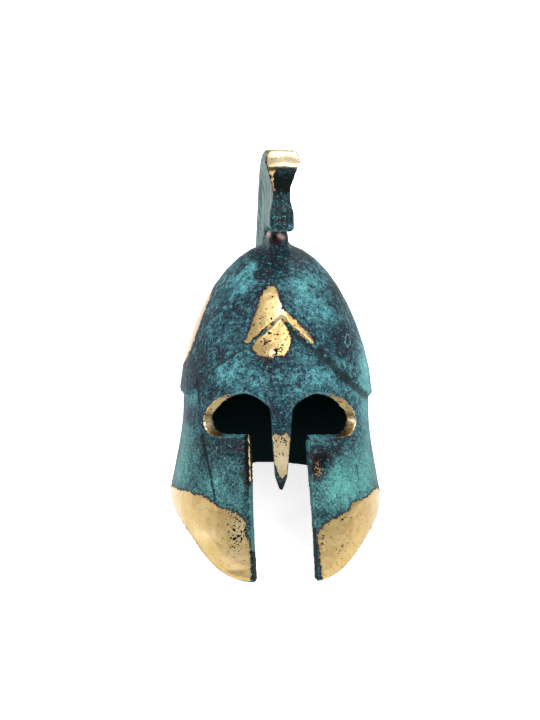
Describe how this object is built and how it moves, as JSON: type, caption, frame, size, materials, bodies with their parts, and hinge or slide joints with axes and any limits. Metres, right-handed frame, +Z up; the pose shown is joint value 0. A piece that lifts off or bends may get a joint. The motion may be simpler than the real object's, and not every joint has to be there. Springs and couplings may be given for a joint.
{
  "type": "miniature spartan helmet",
  "caption": "Small decorative cast-brass Corinthian-style spartan helmet with a tall crest, nose guard and cheek guards, standing on its cheek tips and neck guard.",
  "frame": {"origin": "middle of the footprint box, on the table the helmet stands on", "axes": "+Z up; the face looks along -Y and the crest sweeps down the back at +Y; +X is the side seen on the right by someone facing the helmet"},
  "size_m": [0.0524, 0.0924, 0.0952],
  "materials": {
    "shell_brass": "cast brass under a mottled blue-green and dark brown patina, polished bare on the cheek corners, brow peak, nose guard and eye corners",
    "crest_brass": "cast brass under a dark blue-green patina, polished bare at the front tip"
  },
  "bodies": {
    "root": {"helmet_shell": "shell_brass", "crest": "crest_brass"}
  },
  "joints": []
}
